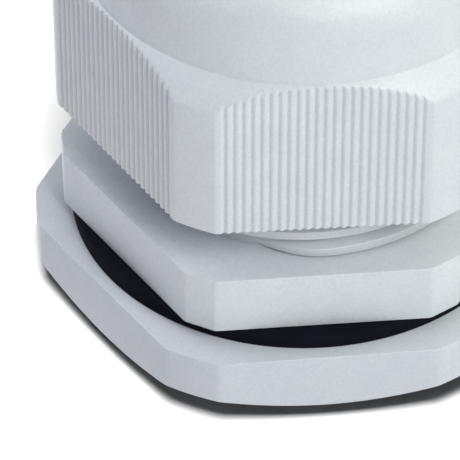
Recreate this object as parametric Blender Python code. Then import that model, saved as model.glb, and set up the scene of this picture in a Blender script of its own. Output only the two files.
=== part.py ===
"""Cable gland of the 2 inch class in moulded plastic, as separate pieces in one frame.

Metres, +Z up along the gland's axis. The origin is the centre of the connecting thread's end face,
which the gland stands on. The flange's flats face +Y and -Y. Angles turn about +Z from +X.
"""

import math

import bmesh
import bpy
from mathutils import Matrix

# Heights along the axis
LOCKNUT_BOTTOM = 0.0034
LOCKNUT_TOP = 0.0137
GASKET_GAP = 0.00015
FLANGE_BOTTOM = 0.01604
FLANGE_TOP = 0.0257
COLLAR_TOP = 0.0500
NUT_BOTTOM = 0.0354
NUT_SHOULDER = 0.0616
NUT_TOP = 0.0750

# Hexagons: half the width across flats, and how far out the corners reach
NUT_APOTHEM = 0.0325
NUT_CORNER_RADIUS = 0.0358
NUT_TURN = math.radians(-0.8)
FLANGE_APOTHEM = 0.0317
FLANGE_CORNER_APOTHEM = 0.0352
LOCKNUT_APOTHEM = 0.03603
LOCKNUT_CORNER_RADIUS = 0.03935
LOCKNUT_TURN = math.radians(0.7)

# Nut outline above the flats
DOME_RADIUS = 0.0320
DOME_WAIST_RADIUS = 0.0312
DOME_WAIST = 0.0680
DOME_ROUNDING = 0.0070
CHAMFER_DROP = 0.0038
CHAMFER_CURVE = 1.25
CHAMFER_STEPS = 5
MOUTH_RADIUS = 0.0225

# Locknut underside
LOCKNUT_FACE_RADIUS = 0.0348
LOCKNUT_CHAMFER_SLOPE = 0.62

# Dome nut thread, body side
COARSE_PITCH = 0.0034
COARSE_CREST = 0.0282
COARSE_ROOT = 0.0262
COARSE_CREST_WIDTH = 0.00145
COARSE_FLANK = math.tan(math.radians(12.0))
COARSE_START = 0.02685
COARSE_START_ANGLE = math.radians(-80.0)

# Connecting thread, body side: 11 threads per inch
PIPE_PITCH = 0.002309
PIPE_CREST = 0.0298
PIPE_ROOT = 0.02833
PIPE_CREST_WIDTH = 0.00045
PIPE_FLANK = (PIPE_PITCH - 2 * PIPE_CREST_WIDTH) / 2 / (PIPE_CREST - PIPE_ROOT)
PIPE_START = 0.0013
PIPE_START_ANGLE = 0.0

# Clearance of each nut's thread
NUT_THREAD_ROOT = 0.02865
NUT_THREAD_CREST = 0.0267
LOCKNUT_THREAD_ROOT = 0.0302
LOCKNUT_THREAD_CREST = 0.02875
FLANK_CLEARANCE = 0.00024

# Inside the gland
BORE_RADIUS = 0.0250
SHELF_RADIUS = 0.0205
SHELF_BOTTOM = 0.0265
SHELF_TOP = 0.0295
SOCKET_RADIUS = 0.0242
CAGE_RADIUS = 0.0239
CAGE_INNER_RADIUS = 0.0219
CAGE_TIP_RADIUS = 0.0256
CAGE_TOP = 0.0563
CAGE_SLOTS = 16
SLOT_WIDTH = 0.0014
SLOT_BOTTOM = 0.0380
SLEEVE_RADIUS = 0.0216
SLEEVE_BORE = 0.0180
SLEEVE_TOP = 0.0520
REDUCER_RADIUS = 0.0177
REDUCER_BORE = 0.0140
REDUCER_RIM_RADIUS = 0.0204
REDUCER_BOTTOM = 0.0305
REDUCER_TOP = 0.0541
WASHER_RADIUS = 0.0256
WASHER_BORE = 0.0229
WASHER_BOTTOM = 0.0658
WASHER_TOP = 0.0676
RETAINING_LIP_RADIUS = 0.0252
REST_GAP = 0.0003

# Rings
GASKET_RADIUS = 0.0341
GASKET_BORE = 0.0301

ROUND_STEPS = 48
THREAD_STEPS = 36
OVERSHOOT = 0.002
WELD_DISTANCE = 0.00003


def clear_scene():
    for old in list(bpy.data.objects):
        bpy.data.objects.remove(old, do_unlink=True)


def plastic(name, colour, roughness):
    material = bpy.data.materials.new(name)
    material.use_nodes = True
    shader = material.node_tree.nodes["Principled BSDF"]
    shader.inputs["Base Color"].default_value = (*colour, 1.0)
    shader.inputs["Roughness"].default_value = roughness
    shader.inputs["Metallic"].default_value = 0.0
    return material


def finish_mesh(name, mesh_data, material=None):
    """Turns a bmesh into a named object, with its faces pointing out and its round sides smooth."""
    bmesh.ops.recalc_face_normals(mesh_data, faces=mesh_data.faces)
    mesh = bpy.data.meshes.new(name)
    mesh_data.to_mesh(mesh)
    mesh_data.free()
    mesh.shade_smooth()
    mesh.set_sharp_from_angle(angle=math.radians(35))
    piece = bpy.data.objects.new(name, mesh)
    bpy.context.scene.collection.objects.link(piece)
    if material:
        mesh.materials.append(material)
    return piece


def turned(name, outline, steps, material=None):
    """Turns a closed outline of (radius, height) points once round the axis."""
    mesh_data = bmesh.new()
    points = [mesh_data.verts.new((radius, 0.0, height)) for radius, height in outline]
    edges = [mesh_data.edges.new((a, b)) for a, b in zip(points, points[1:] + points[:1])]
    bmesh.ops.spin(
        mesh_data,
        geom=points + edges,
        cent=(0.0, 0.0, 0.0),
        axis=(0.0, 0.0, 1.0),
        angle=2 * math.pi,
        steps=steps,
        use_merge=True,
    )
    bmesh.ops.remove_doubles(mesh_data, verts=mesh_data.verts, dist=1e-6)
    return finish_mesh(name, mesh_data, material)


def turned_solid(name, outline, steps, material=None):
    """Turns an outline that runs from the axis back to the axis, closed by a flat disc at each end."""
    mesh_data = bmesh.new()
    points = [mesh_data.verts.new((radius, 0.0, height)) for radius, height in outline]
    edges = [mesh_data.edges.new(pair) for pair in zip(points, points[1:])]
    bmesh.ops.spin(
        mesh_data,
        geom=points + edges,
        cent=(0.0, 0.0, 0.0),
        axis=(0.0, 0.0, 1.0),
        angle=2 * math.pi,
        steps=steps,
        use_merge=True,
    )
    bmesh.ops.remove_doubles(mesh_data, verts=mesh_data.verts, dist=1e-6)
    bmesh.ops.holes_fill(mesh_data, edges=[e for e in mesh_data.edges if e.is_boundary], sides=0)
    return finish_mesh(name, mesh_data, material)


def prism(name, outline, bottom, top, material=None):
    """Extrudes a closed flat outline of (x, y) points from one height to another."""
    mesh_data = bmesh.new()
    points = [mesh_data.verts.new((x, y, bottom)) for x, y in outline]
    base = mesh_data.faces.new(points)
    raised = bmesh.ops.extrude_face_region(mesh_data, geom=[base])
    moved = [v for v in raised["geom"] if isinstance(v, bmesh.types.BMVert)]
    bmesh.ops.translate(mesh_data, verts=moved, vec=(0.0, 0.0, top - bottom))
    return finish_mesh(name, mesh_data, material)


def hexagon(apothem, corner_radius, turn, corner_steps=4):
    """Outline of a hexagon with a flat facing -Y, its corners rounded on a circle about the axis."""
    half_flat = math.acos(apothem / corner_radius)
    half_corner = math.pi / 6 - half_flat
    points = []
    for side in range(6):
        corner = turn + side * math.pi / 3
        for step in range(corner_steps + 1):
            angle = corner - half_corner + 2 * half_corner * step / corner_steps
            points.append((corner_radius * math.cos(angle), corner_radius * math.sin(angle)))
    return points


def cut_hexagon(apothem, corner_apothem, turn):
    """Outline of a hexagon with a flat facing -Y, each corner cut off flat."""
    half_flat = (corner_apothem - apothem * math.cos(math.pi / 6)) / math.sin(math.pi / 6)
    points = []
    for side in range(6):
        normal = turn - math.pi / 2 + side * math.pi / 3
        for along in (-half_flat, half_flat):
            x = apothem * math.cos(normal) - along * math.sin(normal)
            y = apothem * math.sin(normal) + along * math.cos(normal)
            points.append((x, y))
    return points


def boolean(piece, tool, operation):
    """Adds a live Boolean, and hides its cutter."""
    step = piece.modifiers.new(tool.name, "BOOLEAN")
    step.operation = operation
    step.object = tool
    step.solver = "EXACT"
    tool.hide_render = True
    tool.display_type = "WIRE"


def weld(piece):
    """Joins the corners that the Booleans leave a hair apart."""
    step = piece.modifiers.new("weld", "WELD")
    step.merge_threshold = WELD_DISTANCE


def ridge(name, pitch, start, start_angle, first_turn, turns, crest, hidden, width_at):
    """A helical thread ridge. It grows out of the wall at one end and sinks back at the other.

    start is the ridge's middle height at start_angle. crest is the radius it reaches and hidden is
    a radius just inside the wall, where the ridge begins. width_at gives its width at a radius.
    """
    base = hidden + math.copysign(0.00025, hidden - crest)
    stations = round(turns * THREAD_STEPS)
    fade = 2
    mesh_data = bmesh.new()
    sections = []
    for station in range(stations + 1):
        angle = first_turn + 2 * math.pi * station / THREAD_STEPS
        middle = start + pitch * (angle - start_angle) / (2 * math.pi)
        share = min(1.0, station / fade, (stations - station) / fade)
        top = hidden + share * (crest - hidden)
        half_base = width_at(base) / 2 * max(share, 0.4)
        half_top = width_at(crest) / 2 * max(share, 0.4)
        section = []
        for radius, lift in ((base, -half_base), (top, -half_top), (top, half_top), (base, half_base)):
            place = (radius * math.cos(angle), radius * math.sin(angle), middle + lift)
            section.append(mesh_data.verts.new(place))
        sections.append(section)
    for here, after in zip(sections, sections[1:]):
        for i in range(4):
            j = (i + 1) % 4
            mesh_data.faces.new((here[i], here[j], after[j], after[i]))
    mesh_data.faces.new(sections[0])
    mesh_data.faces.new(sections[-1])
    return finish_mesh(name, mesh_data)


def coarse_width(radius):
    return COARSE_CREST_WIDTH + 2 * (COARSE_CREST - radius) * COARSE_FLANK


def coarse_groove(radius):
    return COARSE_PITCH - coarse_width(radius) - 2 * FLANK_CLEARANCE


def pipe_width(radius):
    return PIPE_CREST_WIDTH + 2 * (PIPE_CREST - radius) * PIPE_FLANK


def pipe_groove(radius):
    return PIPE_PITCH - pipe_width(radius) - 2 * FLANK_CLEARANCE


def whole_step(angle):
    """The nearest angle that the threads' stations fall on."""
    step = 2 * math.pi / THREAD_STEPS
    return round(angle / step) * step


def angle_at(height, start, start_angle, pitch):
    """Where on a helix a height is reached."""
    return whole_step(start_angle + 2 * math.pi * (height - start) / pitch)


def make_body(material):
    """Body: hexagonal flange, coarse thread above, pipe thread below, and a stepped bore."""
    body = prism(
        "gland_body",
        cut_hexagon(FLANGE_APOTHEM, FLANGE_CORNER_APOTHEM, 0.0),
        FLANGE_BOTTOM,
        FLANGE_TOP,
        material,
    )
    end_chamfer = 0.0004
    tube = turned_solid(
        "body_tube",
        [
            (PIPE_ROOT - end_chamfer, 0.0),
            (PIPE_ROOT, end_chamfer),
            (PIPE_ROOT, FLANGE_BOTTOM + 0.003),
            (COARSE_ROOT, FLANGE_BOTTOM + 0.005),
            (COARSE_ROOT, COLLAR_TOP - end_chamfer),
            (COARSE_ROOT - end_chamfer, COLLAR_TOP),
        ],
        THREAD_STEPS,
    )
    bore = turned_solid(
        "body_bore",
        [
            (BORE_RADIUS, -OVERSHOOT),
            (BORE_RADIUS, SHELF_BOTTOM - 0.0030),
            (SHELF_RADIUS, SHELF_BOTTOM),
            (SHELF_RADIUS, SHELF_TOP),
            (SOCKET_RADIUS, SHELF_TOP),
            (SOCKET_RADIUS, COLLAR_TOP + OVERSHOOT),
        ],
        ROUND_STEPS,
    )
    coarse_first = COARSE_START_ANGLE - math.radians(20)
    coarse_last = angle_at(COLLAR_TOP - 0.0018, COARSE_START, COARSE_START_ANGLE, COARSE_PITCH)
    coarse = ridge(
        "coarse_ridge",
        COARSE_PITCH,
        COARSE_START,
        COARSE_START_ANGLE,
        coarse_first,
        (coarse_last - coarse_first) / (2 * math.pi),
        COARSE_CREST,
        COARSE_ROOT - 0.00025,
        coarse_width,
    )
    pipe_last = angle_at(FLANGE_BOTTOM - 0.0014, PIPE_START, PIPE_START_ANGLE, PIPE_PITCH)
    pipe = ridge(
        "pipe_ridge",
        PIPE_PITCH,
        PIPE_START,
        PIPE_START_ANGLE,
        PIPE_START_ANGLE,
        (pipe_last - PIPE_START_ANGLE) / (2 * math.pi),
        PIPE_CREST,
        PIPE_ROOT - 0.0002,
        pipe_width,
    )
    boolean(body, tube, "UNION")
    boolean(body, bore, "DIFFERENCE")
    boolean(body, coarse, "UNION")
    boolean(body, pipe, "UNION")
    weld(body)
    return body


def chamfer_height(radius):
    """Height of the turned chamfer over the nut's corners, which rounds in towards the dome."""
    share = (radius - DOME_RADIUS) / (NUT_CORNER_RADIUS - DOME_RADIUS)
    return NUT_SHOULDER - CHAMFER_DROP * share**CHAMFER_CURVE


def dome_outline():
    """Outline of the nut's outside, from the bottom up: corner circle, chamfer, dome and rounded rim."""
    reach = NUT_CORNER_RADIUS + OVERSHOOT
    outline = [(reach, NUT_BOTTOM)]
    for step in range(CHAMFER_STEPS + 1):
        radius = reach + (DOME_RADIUS - reach) * step / CHAMFER_STEPS
        outline.append((radius, chamfer_height(radius)))
    outline.append((DOME_WAIST_RADIUS, DOME_WAIST))
    for step in range(1, 6):
        angle = math.pi / 2 * step / 5
        radius = DOME_WAIST_RADIUS - DOME_ROUNDING * (1 - math.cos(angle))
        height = DOME_WAIST + (NUT_TOP - DOME_WAIST) * math.sin(angle)
        outline.append((radius, height))
    return outline


def make_nut(material):
    """Dome nut: a hexagon under a dome, hollow, threaded inside."""
    nut = turned_solid("compression_nut", dome_outline(), ROUND_STEPS, material)
    flats = prism(
        "nut_flats",
        hexagon(NUT_APOTHEM, NUT_CORNER_RADIUS, NUT_TURN),
        NUT_BOTTOM - OVERSHOOT,
        NUT_TOP + OVERSHOOT,
    )
    hollow = turned_solid(
        "nut_hollow",
        [
            (NUT_THREAD_ROOT + 0.0008, NUT_BOTTOM - OVERSHOOT),
            (NUT_THREAD_ROOT + 0.0008, NUT_BOTTOM),
            (NUT_THREAD_ROOT, NUT_BOTTOM + 0.0008),
            (NUT_THREAD_ROOT, 0.0570),
            (RETAINING_LIP_RADIUS, 0.0646),
            (WASHER_RADIUS + REST_GAP, WASHER_BOTTOM - REST_GAP),
            (WASHER_RADIUS + REST_GAP, WASHER_TOP + REST_GAP),
            (MOUTH_RADIUS, WASHER_TOP + REST_GAP),
            (MOUTH_RADIUS, NUT_TOP - 0.0012),
            (MOUTH_RADIUS + 0.0012, NUT_TOP),
            (MOUTH_RADIUS + 0.0012, NUT_TOP + OVERSHOOT),
        ],
        THREAD_STEPS,
    )
    groove_start = COARSE_START + COARSE_PITCH / 2
    first = angle_at(NUT_BOTTOM + 0.0013, groove_start, COARSE_START_ANGLE, COARSE_PITCH)
    last = angle_at(NUT_BOTTOM + 0.0138, groove_start, COARSE_START_ANGLE, COARSE_PITCH)
    thread = ridge(
        "nut_ridge",
        COARSE_PITCH,
        groove_start,
        COARSE_START_ANGLE,
        first,
        (last - first) / (2 * math.pi),
        NUT_THREAD_CREST,
        NUT_THREAD_ROOT + 0.00025,
        coarse_groove,
    )
    boolean(nut, flats, "INTERSECT")
    boolean(nut, hollow, "DIFFERENCE")
    boolean(nut, thread, "UNION")
    weld(nut)
    return nut


def make_locknut(material):
    """Locknut: a plain hexagon, its underside turned to a shallow cone, threaded inside."""
    reach = LOCKNUT_CORNER_RADIUS + OVERSHOOT
    rise = (reach - LOCKNUT_FACE_RADIUS) * LOCKNUT_CHAMFER_SLOPE
    locknut = turned_solid(
        "locknut",
        [
            (LOCKNUT_FACE_RADIUS, LOCKNUT_BOTTOM),
            (reach, LOCKNUT_BOTTOM + rise),
            (reach, LOCKNUT_TOP),
        ],
        ROUND_STEPS,
        material,
    )
    flats = prism(
        "locknut_flats",
        hexagon(LOCKNUT_APOTHEM, LOCKNUT_CORNER_RADIUS, LOCKNUT_TURN),
        LOCKNUT_BOTTOM - OVERSHOOT,
        LOCKNUT_TOP + OVERSHOOT,
    )
    mouth = 0.0008
    hole = turned_solid(
        "locknut_hole",
        [
            (LOCKNUT_THREAD_ROOT + mouth, LOCKNUT_BOTTOM - OVERSHOOT),
            (LOCKNUT_THREAD_ROOT + mouth, LOCKNUT_BOTTOM),
            (LOCKNUT_THREAD_ROOT, LOCKNUT_BOTTOM + mouth),
            (LOCKNUT_THREAD_ROOT, LOCKNUT_TOP + OVERSHOOT),
        ],
        THREAD_STEPS,
    )
    groove_start = PIPE_START + PIPE_PITCH / 2
    first = angle_at(LOCKNUT_BOTTOM + 0.0014, groove_start, PIPE_START_ANGLE, PIPE_PITCH)
    last = angle_at(LOCKNUT_TOP - 0.0013, groove_start, PIPE_START_ANGLE, PIPE_PITCH)
    thread = ridge(
        "locknut_ridge",
        PIPE_PITCH,
        groove_start,
        PIPE_START_ANGLE,
        first,
        (last - first) / (2 * math.pi),
        LOCKNUT_THREAD_CREST,
        LOCKNUT_THREAD_ROOT + 0.0002,
        pipe_groove,
    )
    boolean(locknut, flats, "INTERSECT")
    boolean(locknut, hole, "DIFFERENCE")
    boolean(locknut, thread, "UNION")
    weld(locknut)
    return locknut


def make_gasket(material):
    """Flat rubber ring between the flange and the locknut."""
    bottom = LOCKNUT_TOP + GASKET_GAP
    top = FLANGE_BOTTOM - GASKET_GAP
    outline = [(GASKET_BORE, bottom), (GASKET_RADIUS, bottom), (GASKET_RADIUS, top), (GASKET_BORE, top)]
    return turned("flange_gasket", outline, ROUND_STEPS, material)


def make_washer(material):
    """Slip ring held in the nut's roof."""
    outline = [
        (WASHER_BORE, WASHER_BOTTOM),
        (WASHER_RADIUS, WASHER_BOTTOM),
        (WASHER_RADIUS, WASHER_TOP),
        (WASHER_BORE, WASHER_TOP),
    ]
    return turned("thrust_washer", outline, THREAD_STEPS, material)


def make_cage(material):
    """Clamping cage: a basket of fingers that stands in the body and flares over its rim."""
    bottom = SHELF_TOP + REST_GAP
    flare = COLLAR_TOP + REST_GAP
    outline = [
        (CAGE_INNER_RADIUS, bottom),
        (CAGE_RADIUS, bottom),
        (CAGE_RADIUS, flare),
        (CAGE_TIP_RADIUS, flare + 0.0018),
        (CAGE_TIP_RADIUS - 0.0010, CAGE_TOP - 0.0005),
        (CAGE_TIP_RADIUS - 0.0015, CAGE_TOP),
        (CAGE_INNER_RADIUS + 0.0006, CAGE_TOP),
        (CAGE_INNER_RADIUS, CAGE_TOP - 0.0012),
    ]
    cage = turned("clamping_cage", outline, ROUND_STEPS, material)
    slots = bmesh.new()
    height = CAGE_TOP + OVERSHOOT - SLOT_BOTTOM
    length = CAGE_TIP_RADIUS - CAGE_INNER_RADIUS + 2 * OVERSHOOT
    for slot in range(CAGE_SLOTS):
        turn = Matrix.Rotation(2 * math.pi * (slot + 0.5) / CAGE_SLOTS, 4, "Z")
        middle = ((CAGE_TIP_RADIUS + CAGE_INNER_RADIUS) / 2, 0.0, SLOT_BOTTOM + height / 2)
        place = turn @ Matrix.Translation(middle) @ Matrix.Diagonal((length, SLOT_WIDTH, height, 1.0))
        bmesh.ops.create_cube(slots, size=1.0, matrix=place)
    cutter = finish_mesh("cage_slots", slots)
    boolean(cage, cutter, "DIFFERENCE")
    return cage


def make_sleeve(material):
    """Rubber sealing sleeve inside the cage."""
    bottom = SHELF_TOP + REST_GAP
    funnel = 0.0012
    outline = [
        (SLEEVE_BORE + funnel, bottom),
        (SLEEVE_RADIUS, bottom),
        (SLEEVE_RADIUS, SLEEVE_TOP),
        (SLEEVE_BORE + funnel, SLEEVE_TOP),
        (SLEEVE_BORE, SLEEVE_TOP - funnel),
        (SLEEVE_BORE, bottom + funnel),
    ]
    return turned("sealing_sleeve", outline, ROUND_STEPS, material)


def make_reducer(material):
    """Rubber ring for thinner cables, hung by its rim on the sleeve."""
    rim = SLEEVE_TOP + REST_GAP
    funnel = 0.0012
    outline = [
        (REDUCER_BORE, REDUCER_BOTTOM),
        (REDUCER_RADIUS - 0.0006, REDUCER_BOTTOM),
        (REDUCER_RADIUS, REDUCER_BOTTOM + 0.0006),
        (REDUCER_RADIUS, rim),
        (REDUCER_RIM_RADIUS, rim),
        (REDUCER_RIM_RADIUS, REDUCER_TOP),
        (REDUCER_BORE + funnel, REDUCER_TOP),
        (REDUCER_BORE, REDUCER_TOP - funnel),
    ]
    return turned("reducing_sleeve", outline, ROUND_STEPS, material)


def main():
    clear_scene()
    make_body(plastic("body_plastic", (0.66, 0.68, 0.70), 0.5))
    make_nut(plastic("nut_plastic", (0.68, 0.70, 0.73), 0.5))
    make_locknut(plastic("locknut_plastic", (0.64, 0.66, 0.69), 0.5))
    make_gasket(plastic("gasket_rubber", (0.012, 0.013, 0.016), 0.7))
    make_washer(plastic("washer_plastic", (0.80, 0.80, 0.78), 0.4))
    make_cage(plastic("cage_plastic", (0.62, 0.63, 0.64), 0.45))
    make_sleeve(plastic("sleeve_rubber", (0.020, 0.020, 0.022), 0.75))
    make_reducer(plastic("reducer_rubber", (0.030, 0.030, 0.032), 0.75))


main()
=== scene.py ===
# %% [markdown]
# # A plastic cable gland of the 2 inch class
#
# A cable gland carries a cable through the wall of an enclosure and keeps water and dust out. This
# lesson dresses a working model of one: the sizes, the screw threads and the moving bodies already
# exist in the frame, and every visible piece is built again here with a fine surface.
# The frame is in metres, +Z runs up the gland's axis, and the gland stands on the end of its
# connecting thread at the origin.

# %% Load the frame
import math

import bmesh
import bpy
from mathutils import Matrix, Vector


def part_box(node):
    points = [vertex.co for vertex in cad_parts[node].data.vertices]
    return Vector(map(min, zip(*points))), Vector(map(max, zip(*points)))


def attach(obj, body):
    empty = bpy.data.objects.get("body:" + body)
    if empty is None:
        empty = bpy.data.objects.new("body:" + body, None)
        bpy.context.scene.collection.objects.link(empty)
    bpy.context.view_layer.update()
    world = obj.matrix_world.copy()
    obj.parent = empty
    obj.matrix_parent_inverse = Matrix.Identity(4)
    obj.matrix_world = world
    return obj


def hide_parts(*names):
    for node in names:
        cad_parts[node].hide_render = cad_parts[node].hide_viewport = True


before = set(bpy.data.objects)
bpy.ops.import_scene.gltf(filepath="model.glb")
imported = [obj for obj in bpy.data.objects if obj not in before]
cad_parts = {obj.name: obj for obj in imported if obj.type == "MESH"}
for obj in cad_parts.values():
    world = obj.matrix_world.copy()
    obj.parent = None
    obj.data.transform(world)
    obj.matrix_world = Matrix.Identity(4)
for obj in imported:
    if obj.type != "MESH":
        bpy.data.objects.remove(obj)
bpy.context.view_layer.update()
MM = 0.001

# %% [markdown]
# ## The camera
#
# The gland is seen from above and slightly from its left, through a long lens, so its upright edges
# stay nearly parallel. A camera can be placed by a point it looks at, a distance and two angles,
# which is easier to read than a position and three rotations. The view is cropped: the gland runs
# past the top and the right of the picture.

# %% Camera
AIM = Vector((-0.01046, 0.00094, 0.00535))
CAMERA_DISTANCE = 0.65534
CAMERA_AZIMUTH = math.radians(-5.15)
CAMERA_ELEVATION = math.radians(42.72)
LENS = 342.13

camera = bpy.data.objects.new("camera", bpy.data.cameras.new("camera"))
bpy.context.scene.collection.objects.link(camera)
back = Vector(
    (
        math.sin(CAMERA_AZIMUTH) * math.cos(CAMERA_ELEVATION),
        -math.cos(CAMERA_AZIMUTH) * math.cos(CAMERA_ELEVATION),
        math.sin(CAMERA_ELEVATION),
    )
)
camera.location = AIM + back * CAMERA_DISTANCE
camera.rotation_mode = "QUATERNION"
camera.rotation_quaternion = (-back).to_track_quat("-Z", "Y")
camera.data.lens = LENS
camera.data.clip_start = 0.01
camera.data.clip_end = 10.0
bpy.context.scene.camera = camera
print("camera at", [round(c, 4) for c in camera.location])

# %% [markdown]
# ## Soft corners
#
# No moulded part has a truly sharp corner, and a small rounding is what catches the light along an
# edge. The rounding can come from a bevel afterwards, but a bevel struggles where hundreds of edges
# meet. Here every outline is rounded before it becomes a surface: a corner point gives way to a
# short curve, worked out from the corner and its two neighbours.

# %% Soft corners
SOFT_STEPS = 3


def soft_corner(before, corner, after, softness, share):
    """A point on the curve that replaces a corner. share runs from 0 to 1 along the curve."""
    start = corner + (before - corner).normalized() * min(softness, (before - corner).length / 2)
    end = corner + (after - corner).normalized() * min(softness, (after - corner).length / 2)
    return start * (1 - share) ** 2 + corner * 2 * share * (1 - share) + end * share**2


def soft_row(before, corner, after, softness, share):
    return lambda reach: soft_corner(before(reach), corner(reach), after(reach), softness, share)


def soft_outline(corners, closed=False):
    """Rows of a cross-section, from (row, softness) pairs. A row maps reach to (radius, height)."""
    rows = []
    for index, (corner, softness) in enumerate(corners):
        is_end = not closed and index in (0, len(corners) - 1)
        if is_end or not softness:
            rows.append(corner)
            continue
        before = corners[index - 1][0]
        after = corners[(index + 1) % len(corners)][0]
        for step in range(SOFT_STEPS + 1):
            rows.append(soft_row(before, corner, after, softness, step / SOFT_STEPS))
    return rows


def soft_plan(corners, longest=2.5 * MM):
    """Columns of a plan, from (point, softness) pairs, with long straight runs divided."""
    points = []
    for index, (corner, softness) in enumerate(corners):
        before = corners[index - 1][0]
        after = corners[(index + 1) % len(corners)][0]
        shares = [step / SOFT_STEPS for step in range(SOFT_STEPS + 1)] if softness else [0]
        points += [soft_corner(before, corner, after, softness, share) for share in shares]
    plan = []
    for here, after in zip(points, points[1:] + points[:1]):
        pieces = max(1, math.ceil((after - here).length / longest))
        plan += [here.lerp(after, i / pieces) for i in range(pieces)]
    return plan


print("a soft corner has", SOFT_STEPS + 1, "points")

# %% [markdown]
# ## One helper for every ring
#
# Every piece here is a ring with some plan, round or hexagonal, and some cross-section. It could be
# spun, but each step of a spin goes through the whole mesh, which is slow for a thousand steps. So a
# ring starts as one flat grid, whose columns are bent round the plan and whose rows follow the
# cross-section. A row is a function of the plan's reach at a column, so one row can follow the
# hexagon while the next one keeps to a circle. Where the last column meets the first, merging
# doubles closes the seam.

# %% Rings
RIM_REACH = 0.45 * MM


def circle_plan(steps):
    """A round plan of unit radius. Its rows give the real radius."""
    turns = [2 * math.pi * step / steps for step in range(steps)]
    return [Vector((math.cos(turn), math.sin(turn))) for turn in turns]


def on_circle(radius, height):
    """A row at one radius all round."""
    return lambda reach: Vector((radius, height))


def on_plan(height):
    """A row that follows the plan."""
    return lambda reach: Vector((reach, height))


def flat_grid(mesh_data, columns, rows):
    """Adds a grid of faces. Returns each of its points with its column and row."""
    grid = bmesh.ops.create_grid(mesh_data, x_segments=columns, y_segments=rows, size=0.5)
    return [
        (point, round((point.co.x + 0.5) * columns), round((point.co.y + 0.5) * rows))
        for point in grid["verts"]
    ]


def ring_wall(mesh_data, plan, rows, closed=False):
    """Bends a grid into a ring. A closed cross-section ends on its first row again."""
    wall = flat_grid(mesh_data, len(plan), len(rows) - (0 if closed else 1))
    for point, column, row in wall:
        spoke = plan[column % len(plan)]
        radius, height = rows[row % len(rows)](spoke.length)
        point.co = (*(spoke / spoke.length * radius), height)
    bmesh.ops.remove_doubles(mesh_data, verts=[point for point, column, row in wall], dist=0.001 * MM)


def join_rims(mesh_data, height):
    """Bridges the two open rims that lie near a height."""
    rims = [
        edge
        for edge in mesh_data.edges
        if edge.is_boundary and all(abs(end.co.z - height) < RIM_REACH for end in edge.verts)
    ]
    bmesh.ops.bridge_loops(mesh_data, edges=rims)


print("ring helpers ready")

# %% [markdown]
# ## Screw threads
#
# A thread is one profile, a groove and a ridge, carried round and up by one pitch a turn. A long
# narrow grid bent into a helix does this. Its turns meet edge to edge, so merging doubles welds them
# into one wall. bisect_plane then trims the wall level at both ends. A ridge never starts at full
# height: a lead-in sinks it into the wall near the ends, as a cutter or a mould does.

# %% Threads
THREAD_STEPS = 96


def thread_outline(wall, tip, tip_width, flank, pitch, softness):
    """One pitch of thread as (height, radius) points, its ridge in the middle.

    flank is how far each side of the ridge spreads for every unit of its depth.
    """
    foot = tip_width / 2 + flank * abs(tip - wall)
    corners = [
        Vector((-pitch / 2, wall)),
        Vector((-foot, wall)),
        Vector((-tip_width / 2, tip)),
        Vector((tip_width / 2, tip)),
        Vector((foot, wall)),
        Vector((pitch / 2, wall)),
    ]
    points = [corners[0]]
    for before, corner, after in zip(corners, corners[1:], corners[2:]):
        points += [soft_corner(before, corner, after, softness, share) for share in (0, 0.35, 0.65, 1)]
    return points + [corners[-1]]


def thread_wall(mesh_data, outline, pitch, start, start_angle, low, high, leads, grow=None):
    """A threaded wall between two heights. The ridge's middle is at start at start_angle.

    leads gives how steeply the ridge rises out of the wall at each end. grow, where it is given,
    takes the angle turned since the start and returns the ridge's share of its full size.
    """
    turns_below = math.ceil((start - low) / pitch) + 1
    turns = turns_below + math.ceil((high - start) / pitch) + 1
    wall_radius = outline[0].y
    grid = flat_grid(mesh_data, THREAD_STEPS * turns, len(outline) - 1)
    for point, column, row in grid:
        rise, radius = outline[row]
        turned = 2 * math.pi * (column / THREAD_STEPS - turns_below)
        share = grow(turned) if grow else 1.0
        if abs(rise) < pitch * 0.499:
            rise *= 0.4 + 0.6 * share
        height = start + pitch * turned / (2 * math.pi) + rise
        room = max(0.0, min((height - low) * leads[0], (high - height) * leads[1]))
        ridge = max(-room, min(room, (radius - wall_radius) * share))
        angle = start_angle + turned
        radius = wall_radius + ridge
        point.co = (radius * math.cos(angle), radius * math.sin(angle), height)
    wall = {point for point, column, row in grid}
    bmesh.ops.remove_doubles(mesh_data, verts=list(wall), dist=0.001 * MM)
    wall = {point for point in wall if point.is_valid}
    for level, cut in ((low, {"clear_inner": True}), (high, {"clear_outer": True})):
        edges = {edge for point in wall for edge in point.link_edges}
        faces = {face for point in wall for face in point.link_faces}
        trimmed = bmesh.ops.bisect_plane(
            mesh_data,
            geom=[*wall, *edges, *faces],
            dist=0.001 * MM,
            plane_co=(0, 0, level),
            plane_no=(0, 0, 1),
            **cut,
        )
        wall |= {item for item in trimmed["geom_cut"] if isinstance(item, bmesh.types.BMVert)}
        wall = {point for point in wall if point.is_valid}


print("threads have", THREAD_STEPS, "steps a turn")

# %% [markdown]
# ## Finishing a piece
#
# Every mesh ends the same way: doubles merged, faces turned outwards, smooth shading with a crease
# wherever two faces meet steeply, and the calls that tie the piece to the frame. The object stays at
# the origin, because its place is in its mesh. The hexagons are drawn here too: three pieces are
# hexagonal, and two of them have corners turned round on a lathe.

# %% Finishing and hexagons
CREASE = math.radians(24)
CORNER_STEPS = 12


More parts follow.
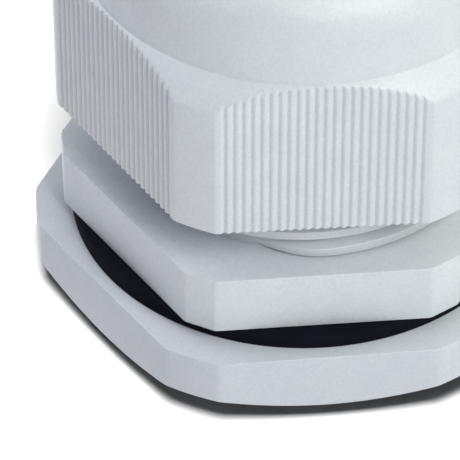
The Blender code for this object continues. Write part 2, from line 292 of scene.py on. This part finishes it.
def finish_piece(name, mesh_data, node, body):
    """Makes the object of a finished bmesh, and lets it stand in for a node of the frame."""
    bmesh.ops.remove_doubles(mesh_data, verts=mesh_data.verts, dist=0.002 * MM)
    bmesh.ops.recalc_face_normals(mesh_data, faces=mesh_data.faces)
    open_edges = sum(not edge.is_manifold for edge in mesh_data.edges)
    mesh = bpy.data.meshes.new(name)
    mesh_data.to_mesh(mesh)
    mesh_data.free()
    mesh.shade_smooth()
    mesh.set_sharp_from_angle(angle=CREASE)
    piece = bpy.data.objects.new(name, mesh)
    bpy.context.scene.collection.objects.link(piece)
    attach(piece, body)
    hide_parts(node)
    print(name, "has", len(mesh.polygons), "faces and", open_edges, "open edges")
    return piece


def hexagon_sides(turn):
    """For each side of a hexagon: the angle that it faces, its normal, and its direction."""
    for side in range(6):
        facing = turn - math.pi / 2 + side * math.pi / 3
        normal = Vector((math.cos(facing), math.sin(facing)))
        yield facing, normal, Vector((-normal.y, normal.x))


def round_hexagon(apothem, corner_radius, turn):
    """The sides of a hexagon whose corners lie on a circle, each with half its flat and its arc."""
    half_flat = math.sqrt(corner_radius**2 - apothem**2)
    half_arc = math.pi / 6 - math.acos(apothem / corner_radius)
    for facing, normal, along in hexagon_sides(turn):
        arc = []
        for step in range(1, CORNER_STEPS):
            angle = facing + math.pi / 6 + half_arc * (2 * step / CORNER_STEPS - 1)
            arc.append(Vector((math.cos(angle), math.sin(angle))) * corner_radius)
        yield normal, along, half_flat, arc


print("pieces crease above", round(math.degrees(CREASE)), "degrees")

# %% [markdown]
# ## The compression nut's plan
#
# The nut's flats are reeded for grip: shallow ribs side by side, with broad crests and narrow
# valleys. The corners are left plain and lie on a circle. The reeds could be cut with a Boolean or
# drawn by a bump texture. A bump would vanish at the nut's lower edge, where the reeds end in small
# scallops, so the reeds are part of the plan: each flat is sampled a few times per reed.

# %% Reeded plan
NUT_LOW, NUT_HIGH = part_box("compression_nut")
NUT_BOTTOM = NUT_LOW[2]
NUT_TOP = NUT_HIGH[2]
NUT_APOTHEM = 32.5 * MM
NUT_CORNER = 35.8 * MM
NUT_TURN = math.radians(-0.8)
REED_PITCH = 1.2427 * MM
REED_DEPTH = 0.29 * MM
REEDS = 23
REED_SHIFT = -0.14 * MM
REED_SAMPLES = 8
FLAT_SOFTNESS = 0.30 * MM


def reed_height(along):
    """How far a reeded flat lies below its crests, which are broad, with narrow valleys between."""
    return -REED_DEPTH * abs(math.sin(math.pi * (along - REED_SHIFT) / REED_PITCH)) ** 3


def nut_plan():
    corners = []
    half_reeded = REEDS / 2 * REED_PITCH
    samples = REEDS * REED_SAMPLES
    for normal, along, half_flat, arc in round_hexagon(NUT_APOTHEM, NUT_CORNER, NUT_TURN):
        corners.append((normal * NUT_APOTHEM - along * half_flat, FLAT_SOFTNESS))
        for sample in range(samples + 1):
            place = half_reeded * (2 * sample / samples - 1)
            height = NUT_APOTHEM + reed_height(place + half_reeded)
            corners.append((normal * height + along * place, 0))
        corners.append((normal * NUT_APOTHEM + along * half_flat, FLAT_SOFTNESS))
        corners += [(point, 0) for point in arc]
    return soft_plan(corners)


print("the nut's plan has", len(nut_plan()), "columns")

# %% [markdown]
# ## The compression nut
#
# Screwing this nut down squeezes the cage and the seal on the cable. Above its hexagon sits a low
# dome, and a chamfer turned on a lathe cuts the hexagon's corners back to the dome. Where a round
# chamfer meets flat sides it leaves curved edges. They come for free here: the chamfer's height
# depends on the radius alone, so the wall is as tall at each column as the chamfer allows. Inside,
# from the top down, are the mouth, the seat of the slip ring, the cone that closes the cage, and the
# coarse thread.

# %% Compression nut
SHOULDER = 61.6 * MM
DOME_RADIUS = 32.0 * MM
WAIST_RADIUS = 31.2 * MM
WAIST = 68.0 * MM
DOME_ROUNDING = 7.0 * MM
CHAMFER_DROP = 3.8 * MM
CHAMFER_CURVE = 1.25
DOME_STEPS = 12
MOUTH = 22.5 * MM
ROOF = 67.9 * MM
SEAT_RADIUS = 25.9 * MM
SEAT_BOTTOM = 65.5 * MM
CONE_RADIUS = 25.2 * MM
CONE_TOP = 64.6 * MM
CONE_BOTTOM = 57.0 * MM
COARSE_PITCH = 3.4 * MM
COARSE_FLANK = math.tan(math.radians(12))
COARSE_START = 26.85 * MM
COARSE_ANGLE = math.radians(-80)
NUT_ROOT = 28.65 * MM
NUT_TIP = 26.7 * MM
NUT_TIP_WIDTH = 0.62 * MM
COUNTERSINK = 29.3 * MM
LEAD_IN = (1.0, 1.0)


def chamfer_height(radius):
    share = max(0.0, radius - DOME_RADIUS) / (NUT_CORNER - DOME_RADIUS)
    return SHOULDER - CHAMFER_DROP * share**CHAMFER_CURVE


def on_chamfer(share):
    """A row on the chamfer, a share of the way from the dome out to the wall."""

    def row(reach):
        radius = DOME_RADIUS + (reach - DOME_RADIUS) * share
        return Vector((radius, chamfer_height(radius)))

    return row


def dome_rows():
    rows = []
    for step in range(1, DOME_STEPS + 1):
        turn = math.pi / 2 * step / DOME_STEPS
        radius = WAIST_RADIUS - DOME_ROUNDING * (1 - math.cos(turn))
        rows.append((on_circle(radius, WAIST + (NUT_TOP - WAIST) * math.sin(turn)), 0))
    return rows


nut_rows = [
    (on_circle(COUNTERSINK, NUT_BOTTOM), 0),
    (on_plan(NUT_BOTTOM), 0.18 * MM),
    (on_chamfer(1.0), 0.40 * MM),
    (on_chamfer(0.66), 0),
    (on_chamfer(0.33), 0),
    (on_circle(DOME_RADIUS, SHOULDER), 0.15 * MM),
    (on_circle(WAIST_RADIUS, WAIST), 0),
    *dome_rows(),
    (on_circle(MOUTH, NUT_TOP), 1.2 * MM),
    (on_circle(MOUTH, ROOF), 0.15 * MM),
    (on_circle(SEAT_RADIUS, ROOF), 0.15 * MM),
    (on_circle(SEAT_RADIUS, SEAT_BOTTOM), 0),
    (on_circle(CONE_RADIUS, CONE_TOP), 0),
    (on_circle(NUT_ROOT, CONE_BOTTOM), 0),
]
nut_mesh = bmesh.new()
thread_wall(
    nut_mesh,
    thread_outline(NUT_ROOT, NUT_TIP, NUT_TIP_WIDTH, COARSE_FLANK, COARSE_PITCH, 0.2 * MM),
    COARSE_PITCH,
    COARSE_START + COARSE_PITCH * 2.5,
    COARSE_ANGLE,
    NUT_BOTTOM + 0.5 * MM,
    CONE_BOTTOM - 0.4 * MM,
    LEAD_IN,
)
ring_wall(nut_mesh, nut_plan(), soft_outline(nut_rows))
join_rims(nut_mesh, NUT_BOTTOM + 0.25 * MM)
join_rims(nut_mesh, CONE_BOTTOM - 0.2 * MM)
nut = finish_piece("nut_shell", nut_mesh, "compression_nut", "nut")

# %% [markdown]
# ## The body
#
# The body is one moulding: a hexagonal flange for the wrench, the connecting thread under it, and the
# coarse thread for the nut above it. The corners of the flange are cut off flat. The first turn of
# the coarse thread swells out of the neck instead of starting at a step. The body is built in four
# open walls, two threads, the flange and the bore, whose rims are then bridged.

# %% Body
FLANGE_BOTTOM = 16.04 * MM
FLANGE_TOP = 25.7 * MM
FLANGE_APOTHEM = 31.7 * MM
FLANGE_CUT = 35.2 * MM
START_ANGLES = (math.radians(-29), math.radians(-8))
COARSE_ROOT = 26.2 * MM
COARSE_TIP = 28.2 * MM
COARSE_TIP_WIDTH = 1.45 * MM
COARSE_TOP = 49.6 * MM
STEEP_START = (50.0, 1.0)
PIPE_PITCH = 2.309 * MM
PIPE_FLANK = 0.479
PIPE_START = 1.3 * MM
PIPE_ROOT = 28.33 * MM
PIPE_TIP = 29.8 * MM
PIPE_TIP_WIDTH = 0.45 * MM
PIPE_BOTTOM = 0.5 * MM
PIPE_TOP = 15.6 * MM
COLLAR_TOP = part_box("gland_body")[1][2]
COLLAR_RADIUS = 25.8 * MM
CAGE_BORE = 24.2 * MM
CAGE_SEAT = 29.5 * MM
SEAL_BORE = 20.5 * MM
SEAL_BOTTOM = 26.5 * MM
LOWER_BORE = 25.0 * MM
LOWER_TOP = 23.5 * MM
END_RADIUS = 27.8 * MM
BORE_STEPS = 120


def flange_plan():
    corners = []
    half_flat = (FLANGE_CUT - FLANGE_APOTHEM * math.cos(math.pi / 6)) / math.sin(math.pi / 6)
    for facing, normal, along in hexagon_sides(0.0):
        corners.append((normal * FLANGE_APOTHEM - along * half_flat, 0.4 * MM))
        corners.append((normal * FLANGE_APOTHEM + along * half_flat, 0.4 * MM))
    return soft_plan(corners)


def first_turn(turned):
    """The coarse ridge's share of its full size: none before one angle, all past the other."""
    share = (turned - START_ANGLES[0]) / (START_ANGLES[1] - START_ANGLES[0])
    share = max(0.0, min(1.0, share))
    return math.sin(math.pi / 2 * share)


body_mesh = bmesh.new()
thread_wall(
    body_mesh,
    thread_outline(
        COARSE_ROOT, COARSE_TIP, COARSE_TIP_WIDTH, COARSE_FLANK, COARSE_PITCH, 0.22 * MM
    ),
    COARSE_PITCH,
    COARSE_START,
    COARSE_ANGLE,
    FLANGE_TOP,
    COARSE_TOP,
    STEEP_START,
    first_turn,
)
thread_wall(
    body_mesh,
    thread_outline(PIPE_ROOT, PIPE_TIP, PIPE_TIP_WIDTH, PIPE_FLANK, PIPE_PITCH, 0.12 * MM),
    PIPE_PITCH,
    PIPE_START,
    0.0,
    PIPE_BOTTOM,
    PIPE_TOP,
    LEAD_IN,
)
flange_rows = [
    (on_circle(PIPE_ROOT, FLANGE_BOTTOM), 0),
    (on_plan(FLANGE_BOTTOM), 0.15 * MM),
    (on_plan(FLANGE_TOP), 0.25 * MM),
    (on_circle(COARSE_ROOT + 0.4 * MM, FLANGE_TOP), 0),
]
bore_rows = [
    (on_circle(COLLAR_RADIUS, COLLAR_TOP), 0),
    (on_circle(CAGE_BORE, COLLAR_TOP), 0.3 * MM),
    (on_circle(CAGE_BORE, CAGE_SEAT), 0.2 * MM),
    (on_circle(SEAL_BORE, CAGE_SEAT), 0.4 * MM),
    (on_circle(SEAL_BORE, SEAL_BOTTOM), 0.4 * MM),
    (on_circle(LOWER_BORE, LOWER_TOP), 0.6 * MM),
    (on_circle(LOWER_BORE, 0.0), 0.5 * MM),
    (on_circle(END_RADIUS, 0.0), 0),
]
ring_wall(body_mesh, flange_plan(), soft_outline(flange_rows))
ring_wall(body_mesh, circle_plan(BORE_STEPS), soft_outline(bore_rows))
for height in (PIPE_BOTTOM / 2, (PIPE_TOP + FLANGE_BOTTOM) / 2, FLANGE_TOP, COARSE_TOP + 0.2 * MM):
    join_rims(body_mesh, height)
body = finish_piece("body_shell", body_mesh, "gland_body", "body")

# %% [markdown]
# ## The locknut
#
# The locknut clamps the gland from the inside of the enclosure. It is a plain hexagon. Its underside
# is turned to a shallow cone, which cuts its corners in curved lines, as on the nut.

# %% Locknut
LOCKNUT_LOW, LOCKNUT_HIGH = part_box("locknut")
LOCKNUT_APOTHEM = 36.03 * MM
LOCKNUT_CORNER = 39.35 * MM
LOCKNUT_TURN = math.radians(0.7)
LOCKNUT_FACE = 34.8 * MM
LOCKNUT_SLOPE = 0.62
LOCKNUT_BORE = 30.8 * MM
LOCKNUT_ROOT = 30.2 * MM
LOCKNUT_TIP = 28.75 * MM
LOCKNUT_TIP_WIDTH = 0.35 * MM
LOCKNUT_RELIEF = 0.6 * MM


def locknut_plan():
    corners = []
    sides = round_hexagon(LOCKNUT_APOTHEM, LOCKNUT_CORNER, LOCKNUT_TURN)
    for normal, along, half_flat, arc in sides:
        corners.append((normal * LOCKNUT_APOTHEM - along * half_flat, 0.8 * MM))
        corners.append((normal * LOCKNUT_APOTHEM + along * half_flat, 0.8 * MM))
        corners += [(point, 0) for point in arc]
    return soft_plan(corners)


def cone_foot(reach):
    """Where the underside's cone meets the wall."""
    return Vector((reach, LOCKNUT_LOW[2] + (reach - LOCKNUT_FACE) * LOCKNUT_SLOPE))


locknut_rows = [
    (on_circle(LOCKNUT_BORE, LOCKNUT_LOW[2]), 0),
    (on_circle(LOCKNUT_FACE, LOCKNUT_LOW[2]), 0.4 * MM),
    (cone_foot, 0.4 * MM),
    (on_plan(LOCKNUT_HIGH[2]), 0.25 * MM),
    (on_circle(LOCKNUT_BORE, LOCKNUT_HIGH[2]), 0),
]
locknut_mesh = bmesh.new()
thread_wall(
    locknut_mesh,
    thread_outline(
        LOCKNUT_ROOT, LOCKNUT_TIP, LOCKNUT_TIP_WIDTH, PIPE_FLANK, PIPE_PITCH, 0.1 * MM
    ),
    PIPE_PITCH,
    PIPE_START + PIPE_PITCH * 1.5,
    0.0,
    LOCKNUT_LOW[2] + LOCKNUT_RELIEF,
    LOCKNUT_HIGH[2] - LOCKNUT_RELIEF,
    LEAD_IN,
)
ring_wall(locknut_mesh, locknut_plan(), soft_outline(locknut_rows))
join_rims(locknut_mesh, LOCKNUT_LOW[2] + LOCKNUT_RELIEF / 2)
join_rims(locknut_mesh, LOCKNUT_HIGH[2] - LOCKNUT_RELIEF / 2)
locknut = finish_piece("locknut_shell", locknut_mesh, "locknut", "locknut")

# %% [markdown]
# ## Gasket, washer, sleeve and reducer
#
# The four plain rings differ only in their cross-sections: a flat rubber gasket under the flange, a
# slip ring in the nut's roof, the rubber sleeve that seals on the cable, and a second, thinner ring
# inside it for thinner cables. One closed outline each is all they need.

# %% Plain rings
PLAIN_STEPS = 144


def plain_ring(name, node, body, corners):
    """A ring from a closed outline of (radius, height, softness) corners in millimetres."""
    outline = [(on_circle(radius * MM, height * MM), soft * MM) for radius, height, soft in corners]
    ring_mesh = bmesh.new()
    ring_wall(ring_mesh, circle_plan(PLAIN_STEPS), soft_outline(outline, closed=True), closed=True)
    return finish_piece(name, ring_mesh, node, body)


gasket = plain_ring(
    "gasket_ring",
    "flange_gasket",
    "seal_ring",
    [(30.1, 13.76, 0.2), (34.1, 13.76, 0.2), (34.1, 15.95, 0.4), (30.1, 15.95, 0.2)],
)
washer = plain_ring(
    "slip_ring",
    "thrust_washer",
    "slip_ring",
    [(22.9, 65.8, 0.3), (25.6, 65.8, 0.3), (25.6, 67.6, 0.3), (22.9, 67.6, 0.5)],
)
sleeve = plain_ring(
    "seal_sleeve",
    "sealing_sleeve",
    "body",
    [
        (19.2, 29.8, 0.3),
        (21.6, 29.8, 0.4),
        (21.6, 52.0, 0.6),
        (19.2, 52.0, 0.4),
        (18.0, 50.8, 0.6),
        (18.0, 31.0, 0.6),
    ],
)
reducer = plain_ring(
    "seal_reducer",
    "reducing_sleeve",
    "body",
    [
        (14.0, 30.5, 0.5),
        (17.7, 30.5, 0.6),
        (17.7, 52.3, 0.2),
        (20.4, 52.3, 0.3),
        (20.4, 54.1, 0.6),
        (15.2, 54.1, 0.5),
        (14.0, 52.9, 0.6),
    ],
)

# %% [markdown]
# ## The clamping cage
#
# The cage stands in the body, round the sleeve. Its fingers flare over the body's rim, and the nut's
# cone bends them in on the cable. A thin slotted shell like this is easiest as a sheet: a wall of
# single faces with the slots' faces deleted, thickened by a Solidify modifier, which also closes the
# edges of the slots.

# %% Clamping cage
CAGE_FINGERS = 16
FINGER_COLUMNS = 6
SLOT_WIDTH = 1.4 * MM
SLOT_BOTTOM = 38.0 * MM
CAGE_MIDDLE = 22.9 * MM
CAGE_WALL = 1.9 * MM
CAGE_BOTTOM = 30.75 * MM
FLARE_BOTTOM = 50.4 * MM
LIP_RADIUS = 23.9 * MM
LIP_HEIGHT = 53.2 * MM
TIP_RADIUS = 23.6 * MM
TIP_HEIGHT = 55.3 * MM


def cage_plan():
    plan = []
    half_slot = SLOT_WIDTH / 2 / CAGE_MIDDLE
    half_finger = math.pi / CAGE_FINGERS - half_slot
    for finger in range(CAGE_FINGERS):
        middle = 2 * math.pi * finger / CAGE_FINGERS
        for column in range(FINGER_COLUMNS + 1):
            angle = middle + half_finger * (2 * column / FINGER_COLUMNS - 1)
            plan.append(Vector((math.cos(angle), math.sin(angle))))
    return plan


cage_rows = [
    (on_circle(CAGE_MIDDLE, CAGE_BOTTOM), 0),
    (on_circle(CAGE_MIDDLE, SLOT_BOTTOM), 0),
    (on_circle(CAGE_MIDDLE, 44.0 * MM), 0),
    (on_circle(CAGE_MIDDLE, FLARE_BOTTOM), 2.0 * MM),
    (on_circle(LIP_RADIUS, LIP_HEIGHT), 1.2 * MM),
    (on_circle(TIP_RADIUS, TIP_HEIGHT), 0),
]
cage_mesh = bmesh.new()
ring_wall(cage_mesh, cage_plan(), soft_outline(cage_rows))
slot_faces = []
for face in cage_mesh.faces:
    middle = face.calc_center_median()
    turn = math.atan2(middle.y, middle.x) / (2 * math.pi) * CAGE_FINGERS
    if middle.z > SLOT_BOTTOM and abs(turn - math.floor(turn) - 0.5) < 0.02:
        slot_faces.append(face)
bmesh.ops.delete(cage_mesh, geom=slot_faces, context="FACES")
cage = finish_piece("cage_fingers", cage_mesh, "clamping_cage", "body")
thicken = cage.modifiers.new("wall", "SOLIDIFY")
thicken.thickness = CAGE_WALL
thicken.offset = 0.0
thicken.use_even_offset = True
edges = cage.modifiers.new("soft edges", "BEVEL")
edges.width = 0.2 * MM
edges.segments = 2
edges.limit_method = "ANGLE"
edges.angle_limit = math.radians(50)
print("the cage has", CAGE_FINGERS, "fingers and", len(slot_faces), "faces cut out for slots")

# %% [markdown]
# ## Moulded plastic
#
# Plain moulded plastic is never one flat colour. It has a faint mottle, a fine orange-peel grain from
# the mould, and gloss that changes where hands have been. All of it is made from noise on the
# object's own coordinates, so it stays with the part: a slow noise shifts the colour a little, a
# middling one changes the roughness, and two fine ones feed a weak bump.

# %% Plastic
GREY = (0.50, 0.525, 0.55)
GREY_TINT = (0.483, 0.507, 0.536)
# The locknut is the same plastic as the body, given a darker copy of its grey: painted shade that
# holds down the floor's bounce light on the lowest part.
LOCKNUT_SHADED_GREY = (0.45, 0.472, 0.505)
LOCKNUT_SHADED_TINT = (0.435, 0.456, 0.492)
CAGE_GREY = (0.55, 0.56, 0.57)
CAGE_TINT = (0.50, 0.51, 0.52)
WASHER_WHITE = (0.66, 0.66, 0.63)
WASHER_TINT = (0.60, 0.60, 0.57)
GASKET_BLACK = (0.004, 0.005, 0.009)
GASKET_TINT = (0.003, 0.004, 0.007)
SEAL_BLACK = (0.020, 0.020, 0.023)
SEAL_TINT = (0.012, 0.012, 0.014)
GRAIN = 0.03 * MM


def noise_of(nodes, links, place, scale, detail, name):
    """Noise on the object's own coordinates. scale is in waves to the metre."""
    node = nodes.new("ShaderNodeTexNoise")
    node.name = name
    node.inputs["Scale"].default_value = scale
    node.inputs["Detail"].default_value = detail
    links.new(place.outputs["Object"], node.inputs["Vector"])
    return node


def ramp_of(nodes, links, source, low, high):
    """Turns a noise into a colour between two."""
    node = nodes.new("ShaderNodeValToRGB")
    for element, colour, stop in zip(node.color_ramp.elements, (low, high), (0.35, 0.65)):
        element.color = (*colour, 1.0)
        element.position = stop
    links.new(source, node.inputs["Fac"])
    return node


def moulded(name, colour, tint, roughness, grain, specular):
    """A moulded surface. tint is the darker colour its mottle runs to."""
    material = bpy.data.materials.new(name)
    material.use_nodes = True
    nodes = material.node_tree.nodes
    links = material.node_tree.links
    shader = nodes["Principled BSDF"]
    shader.inputs["Specular IOR Level"].default_value = specular
    place = nodes.new("ShaderNodeTexCoord")

    mottle = noise_of(nodes, links, place, 260.0, 4.0, "mottle")
    shade = ramp_of(nodes, links, mottle.outputs["Fac"], tint, colour)
    flecks = noise_of(nodes, links, place, 2200.0, 2.0, "flecks")
    fleck_shade = ramp_of(nodes, links, flecks.outputs["Fac"], (0.93, 0.93, 0.94), (1.0, 1.0, 1.0))
    mix = nodes.new("ShaderNodeMix")
    mix.data_type = "RGBA"
    mix.blend_type = "MULTIPLY"
    mix.inputs["Factor"].default_value = 1.0
    links.new(shade.outputs["Color"], mix.inputs["A"])
    links.new(fleck_shade.outputs["Color"], mix.inputs["B"])
    links.new(mix.outputs["Result"], shader.inputs["Base Color"])

    handling = noise_of(nodes, links, place, 90.0, 5.0, "handling")
    gloss = nodes.new("ShaderNodeMapRange")
    gloss.inputs["To Min"].default_value = roughness - 0.08
    gloss.inputs["To Max"].default_value = roughness + 0.10
    links.new(handling.outputs["Fac"], gloss.inputs["Value"])
    links.new(gloss.outputs["Result"], shader.inputs["Roughness"])

    peel = noise_of(nodes, links, place, 1500.0, 3.0, "peel")
    wave = noise_of(nodes, links, place, 160.0, 1.0, "wave")
    coarse = nodes.new("ShaderNodeBump")
    coarse.inputs["Strength"].default_value = 0.12
    coarse.inputs["Distance"].default_value = grain * 3
    links.new(wave.outputs["Fac"], coarse.inputs["Height"])
    fine = nodes.new("ShaderNodeBump")
    fine.inputs["Strength"].default_value = 0.35
    fine.inputs["Distance"].default_value = grain
    links.new(peel.outputs["Fac"], fine.inputs["Height"])
    links.new(coarse.outputs["Normal"], fine.inputs["Normal"])
    links.new(fine.outputs["Normal"], shader.inputs["Normal"])
    return material


nut_plastic = moulded("nut_plastic", GREY, GREY_TINT, 0.46, GRAIN, 0.4)
body_plastic = moulded("body_plastic", GREY, GREY_TINT, 0.48, GRAIN, 0.4)
locknut_plastic = moulded("locknut_plastic", LOCKNUT_SHADED_GREY, LOCKNUT_SHADED_TINT, 0.50, GRAIN, 0.4)
cage_plastic = moulded("cage_plastic", CAGE_GREY, CAGE_TINT, 0.42, 0.02 * MM, 0.4)
washer_plastic = moulded("washer_plastic", WASHER_WHITE, WASHER_TINT, 0.35, 0.015 * MM, 0.5)
gasket_rubber = moulded("gasket_rubber", GASKET_BLACK, GASKET_TINT, 0.80, 0.05 * MM, 0.06)
seal_rubber = moulded("seal_rubber", SEAL_BLACK, SEAL_TINT, 0.66, 0.05 * MM, 0.3)
for piece, material in (
    (nut, nut_plastic),
    (body, body_plastic),
    (locknut, locknut_plastic),
    (gasket, gasket_rubber),
    (washer, washer_plastic),
    (cage, cage_plastic),
    (sleeve, seal_rubber),
    (reducer, seal_rubber),
):
    piece.data.materials.append(material)
print("materials:", sorted(material.name for material in bpy.data.materials))

# %% [markdown]
# ## Floor
#
# The gland stands on a plain sheet of paper, wide enough to fill the picture from any side. The paper
# is a mid grey that a strong lamp makes white. Paler paper would throw more light back into the
# shadow under the locknut, which has to stay dark.

# %% Floor
FLOOR_REACH = 3.0
FLOOR_GREY = 0.28

floor_mesh = bmesh.new()
bmesh.ops.create_grid(floor_mesh, x_segments=2, y_segments=2, size=FLOOR_REACH)
floor_data = bpy.data.meshes.new("floor")
floor_mesh.to_mesh(floor_data)
floor_mesh.free()
floor = bpy.data.objects.new("floor", floor_data)
bpy.context.scene.collection.objects.link(floor)
floor_paper = bpy.data.materials.new("floor_paper")
floor_paper.use_nodes = True
paper = floor_paper.node_tree.nodes["Principled BSDF"]
paper.inputs["Base Color"].default_value = (FLOOR_GREY, FLOOR_GREY, FLOOR_GREY, 1.0)
paper.inputs["Roughness"].default_value = 0.9
paper.inputs["Specular IOR Level"].default_value = 0.0
floor_data.materials.append(floor_paper)
print("floor is", round(floor.dimensions.x, 2), "m wide")

# %% [markdown]
# ## Light
#
# A product picture like this one is lit in two parts. One high lamp whitens the sheet and leaves a
# narrow dark shadow under the locknut. The others are large, soft, and shape the gland: most light
# comes from the upper right, so the right-hand chamfer is the brightest face and the left-hand flats
# the darkest. Light linking keeps the two parts apart: a lamp lights only what is in its receiver
# collection, while every object still casts its shadow.

# %% Lights
LAMP_DISTANCE = 1.2
LAMP_TARGET = Vector((0, 0, 30 * MM))


def receivers(name, members):
    """A collection of the objects that a lamp lights."""
    group = bpy.data.collections.new(name)
    for member in members:
        group.objects.link(member)
    return group


def soft_lamp(name, lit, azimuth, elevation, size, power, colour=(1.0, 1.0, 1.0)):
    """A square area lamp aimed at the gland. Azimuth 0 is in front, and 90 is to its right."""
    turn = math.radians(azimuth)
    lift = math.radians(elevation)
    way = Vector((math.sin(turn) * math.cos(lift), -math.cos(turn) * math.cos(lift), math.sin(lift)))
    lamp = bpy.data.lights.new(name, "AREA")
    lamp.size = size
    lamp.energy = power
    lamp.color = colour
    holder = bpy.data.objects.new(name, lamp)
    bpy.context.scene.collection.objects.link(holder)
    holder.location = way * LAMP_DISTANCE + LAMP_TARGET
    holder.rotation_mode = "QUATERNION"
    holder.rotation_quaternion = (-way).to_track_quat("-Z", "Y")
    holder.light_linking.receiver_collection = lit


on_gland = receivers("lit_gland", (nut, body, locknut, gasket, washer, cage, sleeve, reducer))
on_floor = receivers("lit_floor", (floor,))
soft_lamp("sheet", on_floor, -10, 62.5, 0.3, 72.0)
soft_lamp("key", on_gland, 30, 42, 0.6, 14.3, (0.98, 1.0, 0.97))
soft_lamp("right", on_gland, 100, 30, 0.6, 4.0, (0.91, 1.0, 0.82))
soft_lamp("front", on_gland, 12, 20, 1.8, 1.5)
soft_lamp("left", on_gland, -134, 20, 0.8, 10.2, (0.93, 0.94, 1.0))
soft_lamp("fill", on_gland, -60, 50, 1.0, 1.3, (0.5, 0.5, 1.0))
soft_lamp("top", on_gland, 160, 78, 1.8, 10.8, (0.92, 1.0, 0.85))
soft_lamp("back", on_gland, 170, 50, 1.8, 5.0)
world = bpy.data.worlds.new("studio")
world.use_nodes = True
backdrop = world.node_tree.nodes["Background"]
backdrop.inputs["Color"].default_value = (0.86, 0.93, 1.0, 1.0)
backdrop.inputs["Strength"].default_value = 0.03
bpy.context.scene.world = world
bpy.context.scene.view_settings.view_transform = "Standard"
print("lights:", sorted(lamp.name for lamp in bpy.data.lights))
